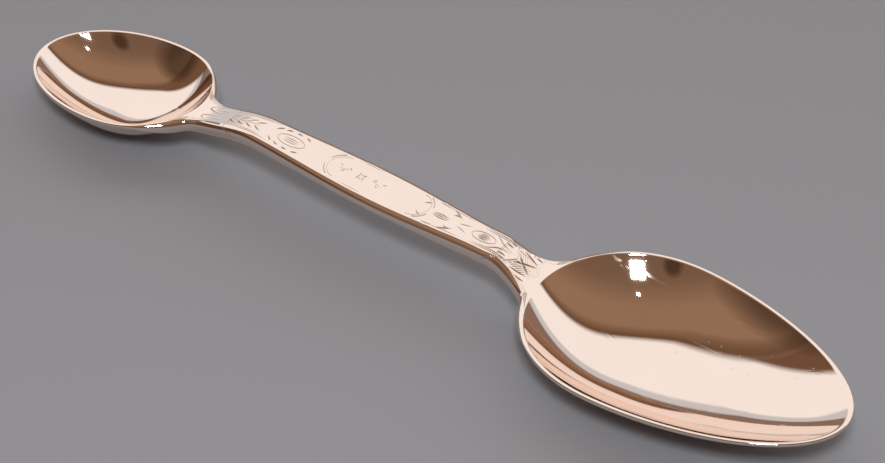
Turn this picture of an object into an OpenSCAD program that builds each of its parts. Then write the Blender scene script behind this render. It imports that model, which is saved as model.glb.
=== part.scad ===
// Double-ended spoon: a tablespoon-size bowl and a teaspoon-size bowl on one short flat handle.
// It lies bowls up. X runs along the spoon, with the large bowl towards +X, Y runs across it and
// Z points up. The origin is on the resting plane, half way between the two tips.

/* [Spoon] */
// Length from tip to tip
overall_length = 180; // [175:1:185]
// Metal thickness at the bottom of each bowl
wall = 1.0; // [0.8:0.1:1.4]
// Metal thickness at the rims
rim_edge = 0.6; // [0.5:0.1:1.0]
// Width of the flat lip round each hollow
lip = 0.7; // [0.4:0.1:1.4]
// How steeply the walls rise to the rims, where 2 is a parabola and more is steeper
wall_power = 2.6; // [2:0.1:3]
// Depth worn flat under each bowl, where the spoon rests
wear = 0.12; // [0.1:0.01:0.2]

/* [Large bowl] */
// Width over the rim
large_width = 39.8; // [38:0.2:42]
// Length from the widest place to the tip
large_tip_reach = 39.5; // [38:0.5:41]
// Length from the widest place to the end of the shoulders
large_neck_reach = 22.5; // [21:0.5:24]
// Depth of the hollow below the rim
large_depth = 8.8; // [8.5:0.1:10]
// Roundness of the tip, where 2 is an ellipse and less is more pointed
large_tip_power = 1.7; // [1.6:0.05:2]
// Rise of the tip above the middle of the rim
large_tip_rise = 0.9; // [0.6:0.1:1.2]

/* [Small bowl] */
// Width over the rim
small_width = 28; // [27:0.2:30]
// Length from the widest place to the tip
small_tip_reach = 22; // [21:0.5:23]
// Length from the widest place to the end of the shoulders
small_neck_reach = 17.3; // [16:0.1:19]
// Depth of the hollow below the rim
small_depth = 7.8; // [7:0.1:8.2]
// Roundness of the tip, where 2 is an ellipse and less is more pointed
small_tip_power = 2; // [1.8:0.05:2]
// Upward slope of the rim towards the handle, in degrees
small_rim_slope = 3.8; // [3:0.1:5]

/* [Handle] */
// Thickness of the handle at its ends and of both necks
handle_thickness = 2.8; // [2.6:0.1:3]
// Thickness of the handle half way between its ends
middle_thickness = 2.2; // [1.8:0.1:2.6]
// Greatest width, near the middle
handle_width = 10; // [9:0.1:10.4]
// Distance of the widest place from the middle, towards the small bowl
handle_widest = 8; // [6:1:14]
// Width at the small bowl
small_neck_width = 7.4; // [7:0.1:8]
// Width at the large bowl
large_neck_width = 7.4; // [7:0.1:8.4]
// Height of the top face above the resting plane at mid-handle
handle_height = 12.8; // [12.4:0.1:13.4]
// Height that the handle gains over the rims in the short curve at each neck
neck_rise = 2.7; // [2.2:0.1:3]
// Width of the bevel along every edge
bevel = 0.25; // [0.2:0.05:0.3]

/* [Joints] */
// Length of the slanted solder joint at each end of the handle
scarf = 5; // [3:0.5:6]
// Thickness of the solder, measured along the handle
solder = 0.3; // [0.2:0.05:0.5]

/* [Hidden] */

tip = overall_length / 2;
neck_power = 2.2;
large_shoulder_blend = 11.5;
small_shoulder_blend = 7;
heel_blend = 1.6;
rim_blend = 0.1;
heel_length = 9;
stub_length = 8;
shoulder_fall = 1;
large_curve_share = 0.125;
small_curve_share = 0.2;

// Steps of the bowls' grid: round the oval, along the stub, and from centre to rim
OVAL_STEPS = 24;
STUB_STEPS = 10;
DEPTH_STEPS = 12;
LIP_STEPS = 3;
LAST_OVAL_ANGLE = 128;
HALF_RING = OVAL_STEPS + STUB_STEPS + 1;
RING = 2 * HALF_RING;
HANDLE_STEPS = 48;

// A bowl is a list. DIRECTION is 1 where its tip points to +X and -1 where it points to -X.
CENTRE = 0;
DIRECTION = 1;
TIP_REACH = 2;
NECK_REACH = 3;
HALF_WIDTH = 4;
TIP_POWER = 5;
DEPTH = 6;
SHOULDER_BLEND = 7;
LARGE = [tip - large_tip_reach, 1, large_tip_reach, large_neck_reach, large_width / 2,
         large_tip_power, large_depth, large_shoulder_blend];
SMALL = [small_tip_reach - tip, -1, small_tip_reach, small_neck_reach, small_width / 2,
         small_tip_power, small_depth, small_shoulder_blend];

// The small rim slopes, so the bowl's lowest place is off its centre and lower than it
small_shell = small_depth + wall - rim_edge;
small_lowest = small_tip_reach * pow(tan(small_rim_slope) * small_tip_reach
                                     / (wall_power * small_shell), 1 / (wall_power - 1));
small_sag = tan(small_rim_slope) * small_lowest
            - small_shell * pow(small_lowest / small_tip_reach, wall_power);
large_rim_height = large_depth + wall - wear;
small_rim_height = small_depth + wall - wear + small_sag;
large_shoulder = LARGE[CENTRE] - large_neck_reach;
small_shoulder = SMALL[CENTRE] + small_neck_reach;
large_joint = large_shoulder - stub_length;
small_joint = small_shoulder + stub_length;
span = large_shoulder - small_shoulder;

function mix(a, b, t) = a + (b - a) * t;
function smooth_step(t) = let (c = max(0, min(1, t))) c * c * (3 - 2 * c);
function smooth_max(a, b, k) =
    let (h = max(0, min(1, 0.5 + (a - b) / (2 * k))))
    mix(b, a, h) + k * h * (1 - h);
function smooth_min(a, b, k) = -smooth_max(-a, -b, k);

// Height of the rims and of the handle's top face at x. The handle rises out of each bowl in a
// short S curve and is gently arched between them.
function large_rim(x) =
    large_rim_height + large_tip_rise * pow((x - LARGE[CENTRE]) / large_tip_reach, 2);
function small_rim(x) = small_rim_height + tan(small_rim_slope) * (x - SMALL[CENTRE]);
large_shoulder_slope = -2 * large_tip_rise * large_neck_reach / pow(large_tip_reach, 2);
small_shoulder_slope = tan(small_rim_slope);
function plain_arch(t) =
    (2 * pow(t, 3) - 3 * pow(t, 2) + 1) * small_rim(small_shoulder)
    + (pow(t, 3) - 2 * pow(t, 2) + t) * span * small_shoulder_slope
    + (3 * pow(t, 2) - 2 * pow(t, 3)) * large_rim(large_shoulder)
    + (pow(t, 3) - pow(t, 2)) * span * large_shoulder_slope;
arch_rise = handle_height - plain_arch(0.5) - neck_rise;
function handle_top(x) =
    let (t = (x - small_shoulder) / span,
         s_curves = smooth_step(t / small_curve_share) * smooth_step((1 - t) / large_curve_share))
    plain_arch(t) + neck_rise * s_curves + arch_rise * pow(4 * t * (1 - t), 2);
function top_height(x) =
    x > large_shoulder ? large_rim(x) : x < small_shoulder ? small_rim(x) : handle_top(x);

// Half the handle's width at x: it swells towards its middle from both necks
function handle_half(x) =
    let (neck_width = x > -handle_widest ? large_neck_width : small_neck_width,
         neck_x = x > -handle_widest ? large_joint : small_joint,
         t = min(1, (x + handle_widest) / (neck_x + handle_widest)))
    mix(neck_width, handle_width, (1 + cos(180 * t)) / 2) / 2;

// The handle is thinnest half way between its solder joints
function bar_thickness(x) =
    let (t = max(0, min(1, (x - small_joint) / (large_joint - small_joint))))
    mix(handle_thickness, middle_thickness, pow(4 * t * (1 - t), 2));

// A place along a bowl is u, measured from its widest place towards its tip
function along(bowl, u) = bowl[CENTRE] + bowl[DIRECTION] * u;
function reach(bowl, u) = u > 0 ? bowl[TIP_REACH] : bowl[NECK_REACH];
function power(bowl, u) = u > 0 ? bowl[TIP_POWER] : neck_power;
function egg_half(bowl, u, inset) =
    let (full = reach(bowl, u) - inset)
    abs(u) < full ? (bowl[HALF_WIDTH] - inset) * sqrt(1 - pow(abs(u) / full, power(bowl, u)))
                  : shoulder_fall * (full - abs(u));
function egg_point(bowl, angle, inset) =
    let (c = cos(angle))
    [sign(c) * (reach(bowl, c) - inset) * pow(abs(c), 2 / power(bowl, c)),
     (bowl[HALF_WIDTH] - inset) * sin(angle)];

// The outline of a bowl with its neck: oval, then concave shoulders, then the handle's width.
// The neck ends on a slant, so its end lies further out where it is deeper.
function outline_point(bowl, i, inset, depth) =
    let (turn = egg_point(bowl, LAST_OVAL_ANGLE, inset)[0],
         end = -bowl[NECK_REACH] - stub_length - scarf * depth / handle_thickness,
         u = mix(turn, end, (i - OVAL_STEPS) / STUB_STEPS))
    i <= OVAL_STEPS ? egg_point(bowl, LAST_OVAL_ANGLE * i / OVAL_STEPS, inset)
    : i == HALF_RING ? [end, 0]
    : [u, smooth_max(egg_half(bowl, u, inset), handle_half(along(bowl, u)) - inset,
                     bowl[SHOULDER_BLEND])];
function hollow_point(bowl, i) =
    let (t = (i - OVAL_STEPS) / (HALF_RING - OVAL_STEPS))
    egg_point(bowl, i <= OVAL_STEPS ? LAST_OVAL_ANGLE * i / OVAL_STEPS
                                    : mix(LAST_OVAL_ANGLE, 180, t), lip);

// Metal depth below the top: thin at the rim, the handle's thickness at the neck
function at_neck(bowl, u) = 1 - smooth_step((u + bowl[NECK_REACH]) / heel_length);
function edge_depth(bowl, u) = mix(rim_edge, handle_thickness, at_neck(bowl, u));
function oval_square(bowl, u, v) =
    pow(abs(u) / reach(bowl, u), power(bowl, u)) + pow(v / bowl[HALF_WIDTH], 2);
// How far out a place is, from 0 in the middle of the oval to 1 on it, by repeated correction
function oval_radius(bowl, u, v, r = 1, steps = 5) =
    steps == 0 || r == 0 ? r
    : oval_radius(bowl, u, v, r * sqrt(oval_square(bowl, u / r, v / r)), steps - 1);
function shell_depth(bowl) = bowl[DEPTH] + wall - rim_edge;
function bottom_height(bowl, u, v) =
    let (top = top_height(along(bowl, u)),
         shell = top - rim_edge
                 - shell_depth(bowl) * (1 - pow(oval_radius(bowl, u, v), wall_power)),
         blend = mix(rim_blend, heel_blend, at_neck(bowl, u)))
    max(0, smooth_min(shell, top - edge_depth(bowl, u), blend));
function lowest(bowl) = [bowl[DIRECTION] < 0 ? small_lowest : 0, 0];

// Rings of points round a bowl, from one side's points
function both_sides(side) =
    [for (j = [0:RING - 1])
        let (p = side[min(j, RING - j)])
        [p[0], j > HALF_RING ? -p[1] : p[1], p[2]]];
function hollow_ring(bowl, r) = both_sides([for (i = [0:HALF_RING])
    let (p = r * hollow_point(bowl, i))
    [p[0], p[1], top_height(along(bowl, p[0])) - bowl[DEPTH] * (1 - pow(r, wall_power))]]);
function lip_ring(bowl, t) = both_sides([for (i = [0:HALF_RING])
    let (p = mix(hollow_point(bowl, i), outline_point(bowl, i, bevel, 0), t))
    [p[0], p[1], top_height(along(bowl, p[0]))]]);
function edge_ring(bowl, depth) = both_sides([for (i = [0:HALF_RING])
    let (p = outline_point(bowl, i, 0, depth),
         drop = depth > bevel ? edge_depth(bowl, p[0]) - bevel : bevel)
    [p[0], p[1], top_height(along(bowl, p[0])) - drop]]);
function bottom_ring(bowl, r) = both_sides([for (i = [0:HALF_RING])
    let (p = mix(lowest(bowl), outline_point(bowl, i, bevel, handle_thickness), r))
    [p[0], p[1], bottom_height(bowl, p[0], p[1])]]);
function bowl_rings(bowl) = concat(
    [for (k = [1:DEPTH_STEPS]) hollow_ring(bowl, k / DEPTH_STEPS)],
    [for (k = [1:LIP_STEPS]) lip_ring(bowl, k / LIP_STEPS)],
    [edge_ring(bowl, bevel), edge_ring(bowl, handle_thickness - bevel)],
    [for (k = [DEPTH_STEPS:-1:1]) bottom_ring(bowl, k / DEPTH_STEPS)]);

// Faces between neighbouring rings of n points each, starting at point number first
function ring_faces(rings, n, first) =
    [for (k = [0:rings - 2], j = [0:n - 1], half = [0, 1])
        let (a = first + k * n + j,
             b = first + k * n + (j + 1) % n)
        half == 0 ? [a, b, b + n] : [a, b + n, a + n]];

module bowl_shell(bowl) {
    rings = bowl_rings(bowl);
    low = lowest(bowl);
    centre_top = [0, 0, top_height(bowl[CENTRE]) - bowl[DEPTH]];
    centre_bottom = [low[0], low[1], bottom_height(bowl, low[0], low[1])];
    local = concat([centre_top], [for (ring = rings) each ring], [centre_bottom]);
    count = len(local);
    last_ring = count - 1 - RING;
    polyhedron(
        points = [for (p = local) [along(bowl, p[0]), bowl[DIRECTION] * p[1], p[2]]],
        faces = concat(
            [for (j = [0:RING - 1]) [0, 1 + (j + 1) % RING, 1 + j]],
            ring_faces(len(rings), RING, 1),
            [for (j = [0:RING - 1]) [count - 1, last_ring + j, last_ring + (j + 1) % RING]]),
        convexity = 6);
}

// A cross-section of the handle: a flat bar with bevelled edges, slanted along X by its depth
SECTION = [[0, 0], [1, 0], [1, 1], [1, 2], [1, 3], [0, 3], [-1, 3], [-1, 2], [-1, 1], [-1, 0]];
function section(x, slant) =
    let (thickness = bar_thickness(x),
         depths = [0, bevel, thickness - bevel, thickness],
         insets = [bevel, 0, 0, bevel])
    [for (s = SECTION)
        let (px = x + slant * depths[s[1]] / thickness)
        [px, s[0] * (handle_half(px) - insets[s[1]]), top_height(px) - depths[s[1]]]];
module bar(sections) {
    n = len(SECTION);
    last = (len(sections) - 1) * n;
    polyhedron(
        points = [for (ring = sections) each ring],
        faces = concat(
            [for (k = [1:n - 2]) [0, k + 1, k]],
            ring_faces(len(sections), n, 0),
            [for (k = [1:n - 2]) [last, last + k, last + k + 1]]),
        convexity = 4);
}

module large_bowl() {
    color("silver") bowl_shell(LARGE);
}
module small_bowl() {
    color("silver") bowl_shell(SMALL);
}
module handle() {
    start = small_joint + solder;
    end = large_joint - solder;
    color("gainsboro")
        bar([for (k = [0:HANDLE_STEPS])
            let (t = k / HANDLE_STEPS) section(mix(start, end, t), mix(scarf, -scarf, t))]);
}
module large_bowl_solder() {
    color("darkgray")
        bar([section(large_joint - solder, -scarf), section(large_joint, -scarf)]);
}
module small_bowl_solder() {
    color("darkgray")
        bar([section(small_joint, scarf), section(small_joint + solder, scarf)]);
}

large_bowl();
small_bowl();
handle();
large_bowl_solder();
small_bowl_solder();
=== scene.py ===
"""Looks of the double-ended spoon: fine polished bowls, an engraved handle and flush solder seams.

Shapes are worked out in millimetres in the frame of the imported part, and make_mesh turns them into
metres. X runs along the spoon towards the large bowl, Y runs across it and Z points up.
"""
import math

import bpy
import numpy as np
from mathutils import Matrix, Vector


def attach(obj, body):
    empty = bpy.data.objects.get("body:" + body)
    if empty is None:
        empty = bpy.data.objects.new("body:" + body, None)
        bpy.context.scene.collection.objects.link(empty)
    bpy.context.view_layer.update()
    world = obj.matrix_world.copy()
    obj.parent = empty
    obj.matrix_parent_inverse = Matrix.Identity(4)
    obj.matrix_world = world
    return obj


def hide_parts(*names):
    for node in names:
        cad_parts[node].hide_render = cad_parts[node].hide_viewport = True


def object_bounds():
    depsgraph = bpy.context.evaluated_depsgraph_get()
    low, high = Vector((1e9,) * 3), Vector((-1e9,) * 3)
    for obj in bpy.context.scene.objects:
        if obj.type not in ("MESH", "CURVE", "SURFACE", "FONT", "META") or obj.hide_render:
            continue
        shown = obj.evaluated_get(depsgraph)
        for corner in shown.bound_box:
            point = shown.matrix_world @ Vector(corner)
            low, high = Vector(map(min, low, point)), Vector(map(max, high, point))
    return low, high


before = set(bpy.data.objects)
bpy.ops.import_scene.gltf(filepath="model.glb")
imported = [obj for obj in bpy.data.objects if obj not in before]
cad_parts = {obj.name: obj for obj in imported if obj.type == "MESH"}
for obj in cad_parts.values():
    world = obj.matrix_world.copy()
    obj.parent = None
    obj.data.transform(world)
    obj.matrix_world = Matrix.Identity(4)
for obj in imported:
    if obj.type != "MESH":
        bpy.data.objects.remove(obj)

CAD_BOX = [list(corner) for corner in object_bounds()]
MM = 0.001

# ---------------------------------------------------------------- driving dimensions, millimetres
TIP = CAD_BOX[1][0] / MM
# Metal at the bottom of the bowls and at the rims, the lip round each hollow, the steepness of the
# walls (2 is a parabola), and the depth worn flat under the bowls
WALL = 1.0
RIM_EDGE = 0.6
LIP = 0.7
WALL_POWER = 2.6
WEAR = 0.12
# The necks' and the handle's thickness, and the handle's width. HANDLE_WIDEST is how far its
# widest place is from the middle of the spoon, towards the small bowl.
THICKNESS = 2.8
MIDDLE_THICKNESS = 2.2
HANDLE_WIDTH = 10.0
HANDLE_WIDEST = 8.0
SMALL_NECK = 7.4
LARGE_NECK = 7.4
HANDLE_HEIGHT = 12.8
# Height that the handle gains at each neck, and the shares of the span that the curves take
NECK_RISE = 2.7
LARGE_CURVE_SHARE = 0.125
SMALL_CURVE_SHARE = 0.2
# The oval, the shoulders and the heels under them
NECK_POWER = 2.2
SHOULDER_FALL = 1.0
END_ROUNDING = 0.06
HEEL_BLEND = 1.6
RIM_BLEND = 0.1
HEEL_LENGTH = 9.0
STUB = 8.0
SCARF = 5.0
SOLDER = 0.3
TIP_RISE = 0.9
RIM_SLOPE = math.tan(math.radians(3.8))

# Rounding of the edges, where the CAD part has small bevels
ROUND_HANDLE_TOP = 1.2
ROUND_HANDLE_BOTTOM = 0.8
ROUND_RIM = 0.2
HOLLOW_EDGE_ROUNDING = 0.16

# ---------------------------------------------------------------- mesh resolution: step counts
OVAL_STEPS = 104
SIDE_STEPS = 92
END_STEPS = 40
HOLLOW_STEPS = 40
LIP_STEPS = 62
BOTTOM_STEPS = 40
ARC_STEPS = 4
QUARTER = [math.pi / 2 * k / ARC_STEPS for k in range(ARC_STEPS + 1)]
# Degrees round the oval: where the shoulder starts, and where the hollow meets the neck's end
LAST_OVAL_ANGLE = 128.0
END_ANGLE = 171.0
RADIUS_ROUNDS = 8
# Rings at the edge of the hollow, as shares of it, and past the edge, in millimetres
EVEN_SHARE = 0.96
NEAR_EDGE_SHARES = (0.975, 0.985, 0.991, 0.995, 0.9985)
PAST_EDGE = (0.01, 0.05, 0.1, 0.16, 0.25)
STATIONS = 700
SEAM_STATIONS = 5
ACROSS = 112
UNDER = 10


class Bowl:
    """The shape of one bowl. Direction is 1 where its tip points to +X."""

    def __init__(self, name, direction, width, tip_reach, neck_reach, depth, tip_power,
                 shoulder_blend):
        self.name = name
        self.direction = direction
        self.centre = direction * (TIP - tip_reach)
        self.half = width / 2
        self.tip_reach = tip_reach
        self.neck_reach = neck_reach
        self.depth = depth
        self.tip_power = tip_power
        self.shoulder_blend = shoulder_blend
        self.shell_depth = depth + WALL - RIM_EDGE
        self.rim = depth + WALL - WEAR
        self.shoulder = self.centre - direction * neck_reach
        self.joint = self.shoulder - direction * STUB

    def along(self, u):
        return self.centre + self.direction * u

    def reach(self, u):
        return np.where(u > 0, self.tip_reach, self.neck_reach)

    def power(self, u):
        return np.where(u > 0, self.tip_power, NECK_POWER)


LARGE = Bowl("large_bowl", 1, 39.8, 39.5, 22.5, 8.8, 1.7, 11.5)
SMALL = Bowl("small_bowl", -1, 28.0, 22.0, 17.3, 7.8, 2.0, 7.0)
# The small rim slopes, so that bowl's lowest place is off its centre and lower than it.
# SLOPE_SHARE is the rim's slope as a share of the wall's slope at the tip.
SLOPE_SHARE = RIM_SLOPE * SMALL.tip_reach / (WALL_POWER * SMALL.shell_depth)
SMALL_LOWEST = SMALL.tip_reach * SLOPE_SHARE ** (1 / (WALL_POWER - 1))
SMALL.rim += RIM_SLOPE * SMALL_LOWEST
SMALL.rim -= SMALL.shell_depth * (SMALL_LOWEST / SMALL.tip_reach) ** WALL_POWER
SPAN = LARGE.shoulder - SMALL.shoulder


def mix(a, b, t):
    return a + (b - a) * t


def smooth_step(t):
    c = np.clip(t, 0, 1)
    return c * c * (3 - 2 * c)


def smooth_max(a, b, k):
    h = np.clip(0.5 + (a - b) / (2 * k), 0, 1)
    return mix(b, a, h) + k * h * (1 - h)


def smooth_min(a, b, k):
    return -smooth_max(-a, -b, k)


# ---------------------------------------------------------------- heights along the spoon
def large_rim(x):
    return LARGE.rim + TIP_RISE * ((x - LARGE.centre) / LARGE.tip_reach) ** 2


def small_rim(x):
    return SMALL.rim + RIM_SLOPE * (x - SMALL.centre)


def plain_arch(t):
    """A cubic from one shoulder to the other, with the slopes of the two rims."""
    large_slope = -2 * TIP_RISE * LARGE.neck_reach / LARGE.tip_reach**2
    return (
        (2 * t**3 - 3 * t**2 + 1) * small_rim(SMALL.shoulder)
        + (t**3 - 2 * t**2 + t) * SPAN * RIM_SLOPE
        + (3 * t**2 - 2 * t**3) * large_rim(LARGE.shoulder)
        + (t**3 - t**2) * SPAN * large_slope
    )


ARCH_RISE = HANDLE_HEIGHT - plain_arch(0.5) - NECK_RISE


def top_height(x):
    """Height of the rims and of the handle's top face."""
    t = np.clip((x - SMALL.shoulder) / SPAN, 0, 1)
    s_curves = smooth_step(t / SMALL_CURVE_SHARE) * smooth_step((1 - t) / LARGE_CURVE_SHARE)
    handle = plain_arch(t) + NECK_RISE * s_curves + ARCH_RISE * (4 * t * (1 - t)) ** 2
    past_small = np.where(x < SMALL.shoulder, small_rim(x), handle)
    return np.where(x > LARGE.shoulder, large_rim(x), past_small)


def handle_half(x):
    """Half the handle's width."""
    towards_large = x > -HANDLE_WIDEST
    neck_width = np.where(towards_large, LARGE_NECK, SMALL_NECK)
    neck_x = np.where(towards_large, LARGE.joint, SMALL.joint)
    t = np.minimum(1, (x + HANDLE_WIDEST) / (neck_x + HANDLE_WIDEST))
    return mix(neck_width, HANDLE_WIDTH, (1 + np.cos(np.pi * t)) / 2) / 2


def bar_thickness(x):
    """The handle is thinnest half way between its solder joints."""
    t = np.clip((x - SMALL.joint) / (LARGE.joint - SMALL.joint), 0, 1)
    return mix(THICKNESS, MIDDLE_THICKNESS, (4 * t * (1 - t)) ** 2)


# ---------------------------------------------------------------- engraving
class Engraving:
    """Bright-cut strokes on the flat top: tapered V-shaped cuts along smooth curves."""

    SAMPLES = 15
    STEEPNESS = 0.36
    # A stroke's width over its length is a sine to this power, between these shares of its length
    SWELL_POWER = 0.7
    SWELL_ENDS = (0.04, 0.96)

    def __init__(self):
        self.strokes = []

    def cut(self, points, width=0.3, both=True, taper=True):
        """A cut along the Bezier curve of the points, and its mirror image across the spoon."""
        t = np.linspace(0, 1, self.SAMPLES)[:, None]
        n = len(points) - 1
        curve = sum(math.comb(n, k) * t**k * (1 - t) ** (n - k) * np.array(p, float)
                    for k, p in enumerate(points))
        swell = np.ones(len(t))
        if taper:
            swell = np.sin(np.pi * np.clip(t[:, 0], *self.SWELL_ENDS)) ** self.SWELL_POWER
        self.strokes.append((curve, width / 2 * swell))
        if both:
            self.strokes.append((curve * [1, -1], width / 2 * swell))

    def ellipse(self, x, y, radius_x, radius_y, width, start=0, end=360, both=False):
        """A cut along an arc of an ellipse, in degrees."""
        angle = np.radians(np.linspace(start, end, 2 * self.SAMPLES))
        curve = np.stack([x + radius_x * np.cos(angle), y + radius_y * np.sin(angle)], 1)
        half = np.full(len(angle), width / 2)
        self.strokes.append((curve, half))
        if both:
            self.strokes.append((curve * [1, -1], half))

    def depth(self, x, y):
        """How deep the cuts are at each point."""
        deepest = np.zeros(len(x))
        for curve, half in self.strokes:
            widest = half.max()
            low, high = curve.min(0) - widest, curve.max(0) + widest
            near = np.flatnonzero((x > low[0]) & (x < high[0]) & (y > low[1]) & (y < high[1]))
            if len(near) == 0:
                continue
            p = np.stack([x[near], y[near]], 1)[:, None, :]
            a, d = curve[:-1], np.diff(curve, axis=0)
            t = np.clip(((p - a) * d).sum(2) / np.maximum((d * d).sum(1), 1e-9), 0, 1)
            distance = np.linalg.norm(p - a - t[..., None] * d, axis=2)
            local = mix(half[:-1], half[1:], t)
            cut = (np.maximum(0, local - distance) * self.STEEPNESS).max(1)
            deepest[near] = np.maximum(deepest[near], cut)
        return deepest


def border(e, start, end, inset, width):
    """A line that follows the handle's edge, in both sides' mirror image."""
    x = np.linspace(start, end, 7)
    e.cut(list(zip(x, handle_half(x) - inset)), width)


def engrave():
    """The pattern: leaf sprays and ovals on both sides of a plain cartouche with a small flower.

    Points are millimetres along and across the spoon, and the last number is the stroke's width.
    """
    e = Engraving()
    flower = -12
    # scroll at the small bowl
    e.cut([(-45.6, 0.5), (-48.6, 0.4), (-50.4, 1.6), (-47.2, 2.3)], 0.34)
    e.cut([(-46.6, 1.2), (-45.4, 1.6), (-44.6, 1.2)], 0.26)
    # spray between the small neck and the first oval
    border(e, -41.5, -31.5, 1.4, 0.26)
    border(e, -40.5, -33.5, 1.75, 0.22)
    e.cut([(-44.2, 0), (-40, 0), (-34.2, 0)], 0.22, both=False)
    for x in np.arange(-43, -35, 2.0):
        e.cut([(x, 0.15), (x + 0.9, 0.95), (x + 2.1, 1.25)], 0.4)
    # first oval with its petals
    e.ellipse(-28.4, 0, 3.0, 1.35, 0.26)
    for y in (-0.5, 0, 0.5):
        e.cut([(-30.6, y * 0.5), (-28.4, y * 1.5), (-26.2, y * 0.5)], 0.26, both=False)
    petals = ((-32.2, 1.7, 0.7), (-30.4, 2.15, 0.35), (-28.2, 2.35, 0), (-26.0, 2.1, -0.35))
    for x, y, turn in petals:
        e.cut([(x - 0.75, y - turn), (x, y + 0.25), (x + 0.75, y + turn * 0.6)], 0.42)
    # cartouche
    for side in (-1, 1):
        x = -HANDLE_WIDEST + side * 8.2
        e.ellipse(x, 0, side * 3.0, 3.1, 0.22, -86, 86)
        e.ellipse(x, 0, side * 3.55, 3.55, 0.3, -62, -18, both=True)
    border(e, -15.5, -8.5, 1.35, 0.24)
    # flower and sprigs in the cartouche
    for turn in range(8):
        c, s = math.cos(math.radians(45 * turn)), math.sin(math.radians(45 * turn))
        long = 1.25 if turn % 2 else 0.8
        e.cut([(flower + 0.3 * c, 0.3 * s), (flower + long * c, long * s)], 0.34, both=False)
    for side in (-1, 1):
        stem = [(1.6, 0), (3, 0.9), (4.2, -0.9), (5.4, 0)]
        e.cut([(flower + side * out, y) for out, y in stem], 0.22, both=False)
        for step, lift in ((2.3, 0.75), (3.3, -0.75), (4.4, 0.7)):
            leaf = [(step, lift * 0.3), (step + 0.5, lift), (step + 1.0, lift * 1.1)]
            e.cut([(flower + side * out, y) for out, y in leaf], 0.3, both=False)
    # spray after the cartouche
    e.cut([(1.2, 1.1), (2.1, 1.9), (3.0, 2.0)], 0.36)
    e.cut([(3.4, 2.9), (5.0, 3.4), (6.3, 2.6)], 0.3)
    e.cut([(6.8, 3.0), (8.3, 2.6), (9.8, 1.4)], 0.42)
    e.cut([(7.6, 1.5), (8.6, 2.2), (9.4, 1.7)], 0.4)
    e.cut([(9.6, 0.3), (11.0, 0.6), (12.6, 1.2)], 0.28)
    for y in (-0.45, 0, 0.45):
        e.cut([(4.0, y * 0.3), (6.0, y * 1.8), (8.2, y * 0.4)], 0.34, both=False)
    border(e, 3.0, 13.0, 1.35, 0.24)
    # oval with a dark centre
    e.ellipse(15.6, 0, 2.5, 1.15, 0.26)
    for y in (-0.6, -0.3, 0, 0.3, 0.6):
        e.cut([(13.9 + abs(y), y), (15.6, y * 1.1), (17.3 - abs(y), y)], 0.3, both=False)
    # hatched borders and the lyre towards the large bowl
    border(e, 13.5, 22.5, 1.35, 0.26)
    border(e, 14.0, 22.0, 1.75, 0.26)
    for x in np.arange(14.5, 21.8, 0.55):
        y = float(handle_half(x))
        e.cut([(x, y - 1.37), (x + 0.25, y - 1.72)], 0.22, taper=False)
    e.cut([(16.4, 2.1), (18.6, 1.9), (18.4, 0.3), (21.6, 0.25)], 0.34)
    e.cut([(19.4, 1.5), (20.3, 1.2), (21.2, 1.35)], 0.36)
    e.cut([(19.9, 2.15), (20.8, 1.95), (21.5, 2.05)], 0.34)
    e.cut([(22.4, 1.25), (23.8, 0.1), (25.4, -1.0), (26.4, -1.3)], 0.42)
    e.cut([(22.9, 2.4), (24.3, 2.2), (26.0, 1.75)], 0.36)
    e.cut([(24.4, 3.0), (25.6, 3.2), (26.6, 2.9)], 0.32)
    for step in np.arange(0, 4.6, 0.5):
        e.cut([(21.8 + step, 1.9), (22.5 + step, 0.9), (22.9 + step, 0.1)], 0.2, taper=False)
    return e


ENGRAVING = engrave()


# ---------------------------------------------------------------- meshes
def make_mesh(name, points, faces, cut, material):
    """A smooth-shaded piece from points in millimetres, with its cut depth as an attribute."""
    mesh = bpy.data.meshes.new(name)
    mesh.from_pydata((points * MM).tolist(), [], faces)
    mesh.polygons.foreach_set("use_smooth", [True] * len(mesh.polygons))
    mesh.attributes.new("cut", "FLOAT", "POINT").data.foreach_set("value", cut.astype(np.float32))
    mesh.materials.append(material)
    mesh.update()
    piece = bpy.data.objects.new(name, mesh)
    bpy.context.scene.collection.objects.link(piece)
    return piece


def ring_faces(rings, n, first):
    """Quads between neighbouring closed rings of n points each."""
    a = first + np.arange(rings - 1)[:, None] * n + np.arange(n)[None, :]
    b = first + np.arange(rings - 1)[:, None] * n + (np.arange(n)[None, :] + 1) % n
    return np.stack([a, b, b + n, a + n], 2).reshape(-1, 4).tolist()


def egg_point(bowl, degrees, inset):
    c = np.cos(np.radians(degrees))
    u = np.sign(c) * (bowl.reach(c) - inset) * np.abs(c) ** (2 / bowl.power(c))
    return np.stack([u, (bowl.half - inset) * np.sin(np.radians(degrees))], 1)


def egg_half(bowl, u, inset):
    """Half the oval's width at u, with a smooth fall past its end that shapes the shoulder."""
    full = bowl.reach(u) - inset
    inside = 1 - (np.abs(u) / full) ** bowl.power(u)
    rounded = (inside + np.hypot(inside, END_ROUNDING)) / 2
    past = np.abs(u) - full
    fall = SHOULDER_FALL * (past + np.hypot(past, END_ROUNDING)) / 2
    return (bowl.half - inset) * np.sqrt(rounded) - fall


def edge_blend(bowl, u):
    """0 on the neck and 1 round the rim."""
    return smooth_step((u + bowl.neck_reach) / HEEL_LENGTH)


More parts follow.
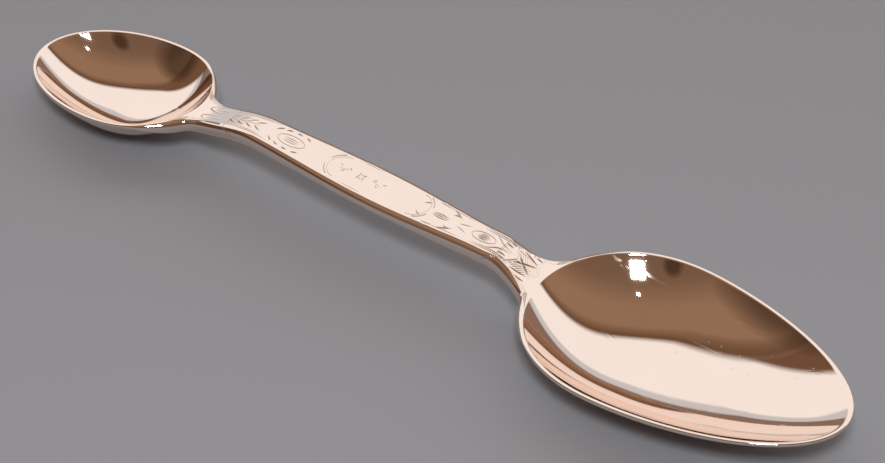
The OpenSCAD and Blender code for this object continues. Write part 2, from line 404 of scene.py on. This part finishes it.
def outline(bowl, inset, depth):
    """Half a bowl's outline with its neck: oval, concave side, and the slanted end.

    inset and depth hold one value for each of the half ring's points.
    """
    angles = np.linspace(0, LAST_OVAL_ANGLE, OVAL_STEPS + 1)
    oval = egg_point(bowl, angles, inset[: OVAL_STEPS + 1])
    side_inset = inset[OVAL_STEPS + 1 : OVAL_STEPS + 1 + SIDE_STEPS]
    side_depth = depth[OVAL_STEPS + 1 : OVAL_STEPS + 1 + SIDE_STEPS]
    turn = egg_point(bowl, np.full(SIDE_STEPS, LAST_OVAL_ANGLE), side_inset)[:, 0]
    end = -bowl.neck_reach - STUB - SCARF * side_depth / THICKNESS
    u = mix(turn, end, np.arange(1, SIDE_STEPS + 1) / SIDE_STEPS)
    neck = handle_half(bowl.along(u)) - side_inset
    v = smooth_max(egg_half(bowl, u, side_inset), neck, bowl.shoulder_blend)
    across = 1 - np.arange(1, END_STEPS + 1) / END_STEPS
    end_points = np.stack([np.full(END_STEPS, u[-1]), v[-1] * across], 1)
    return np.concatenate([oval, np.stack([u, v], 1), end_points])


def hollow_edge(bowl):
    """The hollow's edge, with its points opposite those of the outline."""
    angles = np.concatenate([
        np.linspace(0, LAST_OVAL_ANGLE, OVAL_STEPS + 1),
        mix(LAST_OVAL_ANGLE, END_ANGLE, np.arange(1, SIDE_STEPS + 1) / SIDE_STEPS),
        mix(END_ANGLE, 180, np.arange(1, END_STEPS + 1) / END_STEPS),
    ])
    return egg_point(bowl, angles, LIP)


def oval_radius(bowl, u, v):
    """How far out a place is, from 0 in the oval's middle to 1 on it, by repeated correction."""
    r = np.ones(len(u))
    for _ in range(RADIUS_ROUNDS):
        square = (np.abs(u / r) / bowl.reach(u)) ** bowl.power(u) + (v / r / bowl.half) ** 2
        r = np.maximum(1e-6, r * np.sqrt(square))
    return r


def bottom_height(bowl, u, v):
    """Height of the underside: a shallow shell that runs out into the handle's thickness."""
    top = top_height(bowl.along(u))
    shell = top - RIM_EDGE - bowl.shell_depth * (1 - oval_radius(bowl, u, v) ** WALL_POWER)
    rim_share = edge_blend(bowl, u)
    neck = top - mix(THICKNESS, RIM_EDGE, rim_share)
    return np.maximum(0, smooth_min(shell, neck, mix(HEEL_BLEND, RIM_BLEND, rim_share)))


def bowl_rings(bowl):
    """Half rings of (u, v, z, cut) from the hollow's middle out, over the rim and under it."""
    count = OVAL_STEPS + 1 + SIDE_STEPS + END_STEPS
    hollow = hollow_edge(bowl)
    hollow_size = (hollow**2).sum(1)
    u_rim = outline(bowl, np.zeros(count), np.zeros(count))[:, 0]
    blend = edge_blend(bowl, u_rim)
    round_top = mix(ROUND_HANDLE_TOP, ROUND_RIM, blend)
    round_bottom = mix(ROUND_HANDLE_BOTTOM, ROUND_RIM, blend)
    lip_edge = outline(bowl, round_top, np.zeros(count))

    def top_ring(p):
        r = 1 + ((p - hollow) * hollow).sum(1) / hollow_size
        sunk = smooth_max(bowl.depth * (1 - r**WALL_POWER), np.zeros(count), HOLLOW_EDGE_ROUNDING)
        x = bowl.along(p[:, 0])
        cut = ENGRAVING.depth(x, bowl.direction * p[:, 1])
        cut = cut * smooth_step((r - 1) * bowl.neck_reach / LIP)
        return np.column_stack([p, top_height(x) - sunk - cut, cut])

    rings = []
    for k in range(1, HOLLOW_STEPS + 1):
        rings.append(top_ring(hollow * EVEN_SHARE * k / HOLLOW_STEPS))
    for share in NEAR_EDGE_SHARES:
        rings.append(top_ring(hollow * share))
    widths = np.linalg.norm(lip_edge - hollow, axis=1)[:, None]
    for out in PAST_EDGE:
        rings.append(top_ring(mix(hollow, lip_edge, out / widths)))
    for k in range(1, LIP_STEPS + 1):
        share = mix(PAST_EDGE[-1] / widths, 1, k / LIP_STEPS)
        rings.append(top_ring(mix(hollow, lip_edge, share)))
    for turn in QUARTER[1:]:
        drop = round_top * (1 - math.cos(turn))
        p = outline(bowl, round_top * (1 - math.sin(turn)), drop)
        z = top_height(bowl.along(p[:, 0])) - drop
        rings.append(np.column_stack([p, z, np.zeros(count)]))
    for turn in QUARTER:
        p = outline(bowl, round_bottom * (1 - math.cos(turn)),
                    np.full(count, THICKNESS) - round_bottom * (1 - math.sin(turn)))
        z = bottom_height(bowl, p[:, 0], p[:, 1]) + round_bottom * (1 - math.sin(turn))
        rings.append(np.column_stack([p, z, np.zeros(count)]))
    under = outline(bowl, round_bottom, np.full(count, THICKNESS))
    for k in range(BOTTOM_STEPS - 1, 0, -1):
        p = under * k / BOTTOM_STEPS
        z = bottom_height(bowl, p[:, 0], p[:, 1])
        rings.append(np.column_stack([p, z, np.zeros(count)]))
    return rings


def make_bowl(bowl, material):
    """The whole shell as rings of points, closed at the middle of its top and of its underside."""
    rings = [np.concatenate([half, (half * [1, -1, 1, 1])[-2:0:-1]]) for half in bowl_rings(bowl)]
    n = len(rings[0])
    zero = np.zeros(1)
    middle_top = [[0, 0, float(top_height(bowl.centre)) - bowl.depth, 0]]
    middle_bottom = [[0, 0, float(bottom_height(bowl, zero, zero)[0]), 0]]
    local = np.concatenate([middle_top, *rings, middle_bottom])
    faces = ring_faces(len(rings), n, 1)
    last, first_of_last = len(local) - 1, len(local) - 1 - n
    for j in range(n):
        faces.append((0, 1 + (j + 1) % n, 1 + j))
        faces.append((last, first_of_last + j, first_of_last + (j + 1) % n))
    points = np.stack([bowl.along(local[:, 0]), bowl.direction * local[:, 1], local[:, 2]], 1)
    return make_mesh(bowl.name, points, faces, local[:, 3], material)


def bar_profile():
    """The bar's cross-section from one top edge round, as (share of the half width, inset, depth,
    whether it is measured from the underside)."""
    top = [(s, 1.0, 0.0, 0.0) for s in np.linspace(-1, 1, ACROSS)]
    right = []
    for turn in QUARTER[1:]:
        right.append((1, 1 - math.sin(turn), 1 - math.cos(turn), 0.0))
    for turn in QUARTER:
        right.append((1, 1 - math.cos(turn), 1 - math.sin(turn), 1.0))
    under = [(s, 1.0, 0.0, 1.0) for s in np.linspace(1, -1, UNDER)[1:-1]]
    left = [(-s, inset, depth, low) for s, inset, depth, low in reversed(right)]
    return np.array(top + right + under + left)


def bar_section(x, slant):
    """Points of the bar's cross-section at x, which leans along X by its depth."""
    side, inset, depth, low = bar_profile().T
    thickness = bar_thickness(x)
    drop = np.where(low > 0, thickness - ROUND_HANDLE_BOTTOM * depth, ROUND_HANDLE_TOP * depth)
    inset = inset * np.where(low > 0, ROUND_HANDLE_BOTTOM, ROUND_HANDLE_TOP)
    px = x + slant * drop / thickness
    y = side * (handle_half(px) - inset)
    cut = np.where(drop > 0, 0, ENGRAVING.depth(px, y))
    return np.column_stack([px, y, top_height(px) - drop - cut, cut])


def make_bar(name, stations, material):
    """A slanted-ended length of the handle, from (x, slant) stations."""
    sections = [bar_section(x, slant) for x, slant in stations]
    n = len(sections[0])
    local = np.concatenate(sections)
    faces = [tuple(reversed(f)) for f in ring_faces(len(sections), n, 0)]
    faces.append(tuple(range(n)))
    faces.append(tuple(range(len(local) - 1, len(local) - 1 - n, -1)))
    return make_mesh(name, local[:, :3], faces, local[:, 3], material)


# ---------------------------------------------------------------- materials
def node(tree, kind, **settings):
    """A node with attributes set by name and sockets set by their label."""
    made = tree.nodes.new(kind)
    for key, value in settings.items():
        if hasattr(made, key):
            setattr(made, key, value)
        else:
            made.inputs[key.replace("_", " ")].default_value = value
    return made


def ramp(tree, source, stops):
    """A colour ramp over source, from (place, grey or colour) stops."""
    made = tree.nodes.new("ShaderNodeValToRGB")
    elements = made.color_ramp.elements
    while len(elements) < len(stops):
        elements.new(0.5)
    for element, (place, colour) in zip(elements, stops):
        element.position = place
        element.color = (*colour, 1) if isinstance(colour, tuple) else (colour, colour, colour, 1)
    tree.links.new(source, made.inputs[0])
    return made.outputs[0]


def blend(tree, share, a, b):
    """Colour a where share is 0 and b, a socket or a colour, where it is 1."""
    made = node(tree, "ShaderNodeMix", data_type="RGBA")
    tree.links.new(share, made.inputs[0])
    tree.links.new(a, made.inputs[6])
    if isinstance(b, tuple):
        made.inputs[7].default_value = (*b, 1)
    else:
        tree.links.new(b, made.inputs[7])
    return made.outputs[2]


def blob(tree, place, towards, outer, inner):
    """1 in the directions whose cosine to towards is over inner, and 0 where it is under outer."""
    cosine = node(tree, "ShaderNodeVectorMath", operation="DOT_PRODUCT")
    tree.links.new(place, cosine.inputs[0])
    cosine.inputs[1].default_value = towards
    over = math_node(tree, "SUBTRACT", cosine.outputs["Value"], outer)
    share = math_node(tree, "DIVIDE", over, inner - outer)
    return ramp(tree, share, [(0.0, 0.0), (1.0, 1.0)])


def degree_ramp(tree, half_turns, stops):
    """A ramp over an angle in half turns, with its stops in degrees."""
    return ramp(tree, half_turns, [(degrees / 180, colour) for degrees, colour in stops])


def scaled_noise(tree, coordinates, scale, rotation, size, detail, sharp):
    """Noise on coordinates that are stretched and turned, for hairlines and cloudy patches."""
    mapping = node(tree, "ShaderNodeMapping")
    mapping.inputs["Scale"].default_value = scale
    mapping.inputs["Rotation"].default_value = rotation
    tree.links.new(coordinates, mapping.inputs["Vector"])
    noise = node(tree, "ShaderNodeTexNoise", Scale=size, Detail=detail, Roughness=sharp)
    tree.links.new(mapping.outputs[0], noise.inputs["Vector"])
    return noise.outputs["Fac"]


def math_node(tree, operation, a, b):
    """a and b are sockets or numbers."""
    made = node(tree, "ShaderNodeMath", operation=operation)
    for socket, value in zip(made.inputs, (a, b)):
        if isinstance(value, (int, float)):
            socket.default_value = value
        else:
            tree.links.new(value, socket)
    return made.outputs[0]


# Hairline scratches in three directions, as (turn, size); metres make the noise sizes large
SCRATCHES = ((0.25, 260.0), (-0.6, 210.0), (1.4, 300.0))
SCRATCH_STRETCH = (0.06, 1.6, 1.0)
CLOUD_SIZE = 55.0
SPECK_SIZE = 420.0
# Cuts are fully dark where they are 1 / CUT_DARKENING mm deep
CUT_DARKENING = 22.0
BUMP_HEIGHT = 0.00002
# How much of the tarnish's colour fills a cut, and the base colour's share where clouds darken it
TARNISH_SHARE = 0.75
CLOUD_SHADE = 0.965
# Roughness everywhere as a share of the clouds' roughness, and what scratches and cuts add to it
EVEN_ROUGHNESS = 0.4
SCRATCH_ROUGHNESS = 0.08
CUT_ROUGHNESS = 0.2
# Depth of the scratches where that of the pits is 1
SCRATCH_DEPTH = 0.5


def polished_silver(name, colour, tarnish, rough, scratch_height):
    """Polished metal with hairline scratches, cloudy roughness and tarnish in the cuts."""
    material = bpy.data.materials.new(name)
    material.use_nodes = True
    tree = material.node_tree
    shader = tree.nodes["Principled BSDF"]
    shader.inputs["Metallic"].default_value = 1.0
    place = node(tree, "ShaderNodeTexCoord").outputs["Object"]
    hairs = []
    for turn, size in SCRATCHES:
        streak = scaled_noise(tree, place, SCRATCH_STRETCH, (0, 0, turn), size, 3.0, 0.6)
        hairs.append(ramp(tree, streak, [(0.0, 0.0), (0.66, 0.0), (0.72, 1.0)]))
    scratches = math_node(tree, "ADD", math_node(tree, "ADD", hairs[0], hairs[1]), hairs[2])
    clouds = scaled_noise(tree, place, (1, 1, 1), (0, 0, 0), CLOUD_SIZE, 4.0, 0.55)
    specks = node(tree, "ShaderNodeTexVoronoi", Scale=SPECK_SIZE)
    tree.links.new(place, specks.inputs["Vector"])
    pits = ramp(tree, specks.outputs["Distance"], [(0.0, 1.0), (0.055, 1.0), (0.075, 0.0)])
    cut = node(tree, "ShaderNodeAttribute", attribute_name="cut").outputs["Fac"]
    cut = math_node(tree, "MULTIPLY", cut, CUT_DARKENING)
    cut = ramp(tree, cut, [(0.0, 0.0), (0.15, 0.0), (1.0, 1.0)])

    shaded = tuple(CLOUD_SHADE * c for c in colour)
    tint = ramp(tree, clouds, [(0.3, shaded), (0.7, colour)])
    stained = blend(tree, math_node(tree, "MULTIPLY", cut, TARNISH_SHARE), tint, tarnish)
    tree.links.new(stained, shader.inputs["Base Color"])

    cloudy = math_node(tree, "MULTIPLY", clouds, rough)
    roughness = math_node(tree, "ADD", cloudy, rough * EVEN_ROUGHNESS)
    for marks, added in ((scratches, SCRATCH_ROUGHNESS), (cut, CUT_ROUGHNESS)):
        roughness = math_node(tree, "ADD", roughness, math_node(tree, "MULTIPLY", marks, added))
    tree.links.new(roughness, shader.inputs["Roughness"])

    height = math_node(tree, "ADD", math_node(tree, "MULTIPLY", scratches, SCRATCH_DEPTH), pits)
    bump = node(tree, "ShaderNodeBump", invert=True, Strength=scratch_height, Distance=BUMP_HEIGHT)
    tree.links.new(height, bump.inputs["Height"])
    tree.links.new(bump.outputs[0], shader.inputs["Normal"])
    return material


# Both base colours hold a painted reflection: their rose cast stands in for the warm room mirrored
# in the metal, which is itself near neutral silver.
SILVER_WITH_PAINTED_WARM_REFLECTION = (0.94, 0.80, 0.72)
SOLDER_WITH_PAINTED_WARM_REFLECTION = (0.925, 0.785, 0.705)
TARNISH = (0.34, 0.22, 0.15)
bowl_silver = polished_silver("bowl_silver", SILVER_WITH_PAINTED_WARM_REFLECTION, TARNISH, 0.05, 0.35)
handle_silver = polished_silver("handle_silver", SILVER_WITH_PAINTED_WARM_REFLECTION, TARNISH, 0.1, 0.45)
silver_solder = polished_silver("silver_solder", SOLDER_WITH_PAINTED_WARM_REFLECTION, TARNISH, 0.12, 0.4)


# ---------------------------------------------------------------- pieces
def own(piece, cad_node):
    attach(piece, "root")
    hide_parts(cad_node)


for shape in (LARGE, SMALL):
    own(make_bowl(shape, bowl_silver), shape.name)

share = np.linspace(0, 1, STATIONS)
handle_x = mix(SMALL.joint + SOLDER, LARGE.joint - SOLDER, share)
stations = list(zip(handle_x, mix(SCARF, -SCARF, share)))
own(make_bar("handle_bar", stations, handle_silver), "handle")

for shape in (LARGE, SMALL):
    x = shape.joint + np.linspace(-SOLDER, 0, SEAM_STATIONS) * shape.direction
    stations = [(place, -shape.direction * SCARF) for place in sorted(x)]
    seam = make_bar(shape.name + "_seam", stations, silver_solder)
    own(seam, shape.name + "_solder")


# ---------------------------------------------------------------- studio
CAMERA_AZIMUTH = math.radians(37.8)
CAMERA_ELEVATION = math.radians(39.8)
CAMERA_DISTANCE = 0.546
CAMERA_AIM = Vector((-0.0005, 0.0089, 0))
SENSOR = 36.0
LENS = 122.03
FLOOR_SIZE = 3.0
FLOOR_COLOUR = (0.36, 0.385, 0.43, 1)
# The dome's colours by the angle over the far horizon, in degrees, up and over to the near one
LOW_BROWN, DARK_BROWN, BROWN = (0.26, 0.17, 0.13), (0.14, 0.07, 0.035), (0.31, 0.19, 0.118)
BACKDROP, CARD = (0.62, 0.64, 0.66), (1.0, 0.965, 0.945)
DOME = [
    (0, LOW_BROWN), (20.5, LOW_BROWN), (22.5, BACKDROP), (28.5, BACKDROP), (31, CARD), (64, CARD),
    (69, DARK_BROWN), (80, BROWN), (100, BROWN), (122, (0.2, 0.12, 0.075)),
    (180, (0.12, 0.08, 0.06)),
]
# The bands up to the card's lower edge fall by this angle towards the camera's left. The fall sets
# in between these cosines to the left, and ends between these angles of the dome.
CARD_FALL = 14
FALL_EDGES = (0.05, 0.32)
FALL_TOP = (40, 50)
# The card ends where the brown room in front of it starts, between these cosines to its azimuth.
# The room gives way to the dome's own brown between these angles.
FRONT_AZIMUTH = math.radians(7)
FRONT_EDGES = (-0.01, 0.06)
FRONT_TOP = (66, 80)
FRONT_BROWN = (0.17, 0.09, 0.05)
# Dark patches of the room, as azimuth, elevation and the cosines of their outer and inner edges
PATCHES = ((-50, 20, 0.93, 0.985), (-2, 41, 0.99, 0.998))
PATCH_COLOUR = (0.035, 0.018, 0.01)
PATCH_STRENGTH = 0.75
# Distance of the lights from the middle of the spoon, in metres, and each light's name, azimuth,
# elevation, size in metres and power in watts
LIGHT_DISTANCE = 0.9
SOFTBOXES = (("key", 38, 52, 0.16, 3.2), ("spot", 42, 68, 0.03, 0.12))


def direction(azimuth, elevation):
    """Unit vector towards azimuth and elevation, where azimuth 0 is -Y and 90 degrees is +X."""
    flat = math.cos(elevation)
    return Vector((math.sin(azimuth) * flat, -math.cos(azimuth) * flat, math.sin(elevation)))


def add_camera():
    data = bpy.data.cameras.new("camera")
    data.sensor_width = SENSOR
    data.lens = LENS
    data.clip_start = 0.01
    data.clip_end = 20
    camera = bpy.data.objects.new("camera", data)
    bpy.context.scene.collection.objects.link(camera)
    back = direction(CAMERA_AZIMUTH, CAMERA_ELEVATION)
    camera.location = CAMERA_AIM + back * CAMERA_DISTANCE
    camera.rotation_euler = (-back).to_track_quat("-Z", "Y").to_euler()
    bpy.context.scene.camera = camera


def add_floor():
    """A large matt grey sheet."""
    mesh = bpy.data.meshes.new("floor")
    sides = ((-1, -1), (1, -1), (1, 1), (-1, 1))
    corners = [(x * FLOOR_SIZE, y * FLOOR_SIZE, 0) for x, y in sides]
    mesh.from_pydata(corners, [], [(0, 1, 2, 3)])
    floor = bpy.data.objects.new("floor", mesh)
    bpy.context.scene.collection.objects.link(floor)
    material = bpy.data.materials.new("floor_paper")
    material.use_nodes = True
    shader = material.node_tree.nodes["Principled BSDF"]
    shader.inputs["Base Color"].default_value = FLOOR_COLOUR
    shader.inputs["Roughness"].default_value = 0.9
    mesh.materials.append(material)


def add_world():
    """A studio dome: a grey backdrop low behind the object, a broad pale card over it, and warm
    brown above and on the camera's side."""
    world = bpy.data.worlds.new("studio")
    bpy.context.scene.world = world
    world.use_nodes = True
    tree = world.node_tree
    place = node(tree, "ShaderNodeTexCoord").outputs["Generated"]
    split = node(tree, "ShaderNodeSeparateXYZ")
    tree.links.new(place, split.inputs[0])
    away = -direction(CAMERA_AZIMUTH, 0)
    forward = node(tree, "ShaderNodeVectorMath", operation="DOT_PRODUCT")
    tree.links.new(place, forward.inputs[0])
    forward.inputs[1].default_value = away
    angle = math_node(tree, "ARCTAN2", split.outputs["Z"], forward.outputs["Value"])
    turn = math_node(tree, "DIVIDE", angle, math.pi)
    left = blob(tree, place, direction(CAMERA_AZIMUTH - math.pi / 2, 0), *FALL_EDGES)
    low = degree_ramp(tree, turn, list(zip(FALL_TOP, (1.0, 0.0))))
    drop = math_node(tree, "MULTIPLY", math_node(tree, "MULTIPLY", left, low), CARD_FALL / 180)
    turn = math_node(tree, "ADD", turn, drop)
    colour = degree_ramp(tree, turn, DOME)
    front = blob(tree, place, direction(FRONT_AZIMUTH, 0), *FRONT_EDGES)
    under_top = degree_ramp(tree, turn, list(zip(FRONT_TOP, (1.0, 0.0))))
    colour = blend(tree, math_node(tree, "MULTIPLY", front, under_top), colour, FRONT_BROWN)
    for azimuth, elevation, outer, inner in PATCHES:
        towards = direction(math.radians(azimuth), math.radians(elevation))
        patch = blob(tree, place, towards, outer, inner)
        patch = math_node(tree, "MULTIPLY", patch, PATCH_STRENGTH)
        colour = blend(tree, patch, colour, PATCH_COLOUR)
    background = tree.nodes["Background"]
    tree.links.new(colour, background.inputs["Color"])
    background.inputs["Strength"].default_value = 1.0


def add_softbox(name, azimuth, elevation, size, power):
    """A square light that faces the object."""
    data = bpy.data.lights.new(name, "AREA")
    data.shape = "SQUARE"
    data.size = size
    data.energy = power
    light = bpy.data.objects.new(name, data)
    towards = direction(math.radians(azimuth), math.radians(elevation))
    light.location = towards * LIGHT_DISTANCE
    light.rotation_euler = (-towards).to_track_quat("-Z", "Y").to_euler()
    light.visible_camera = False
    bpy.context.scene.collection.objects.link(light)


add_camera()
add_floor()
add_world()
for softbox in SOFTBOXES:
    add_softbox(*softbox)
bpy.context.scene.view_settings.view_transform = "Standard"
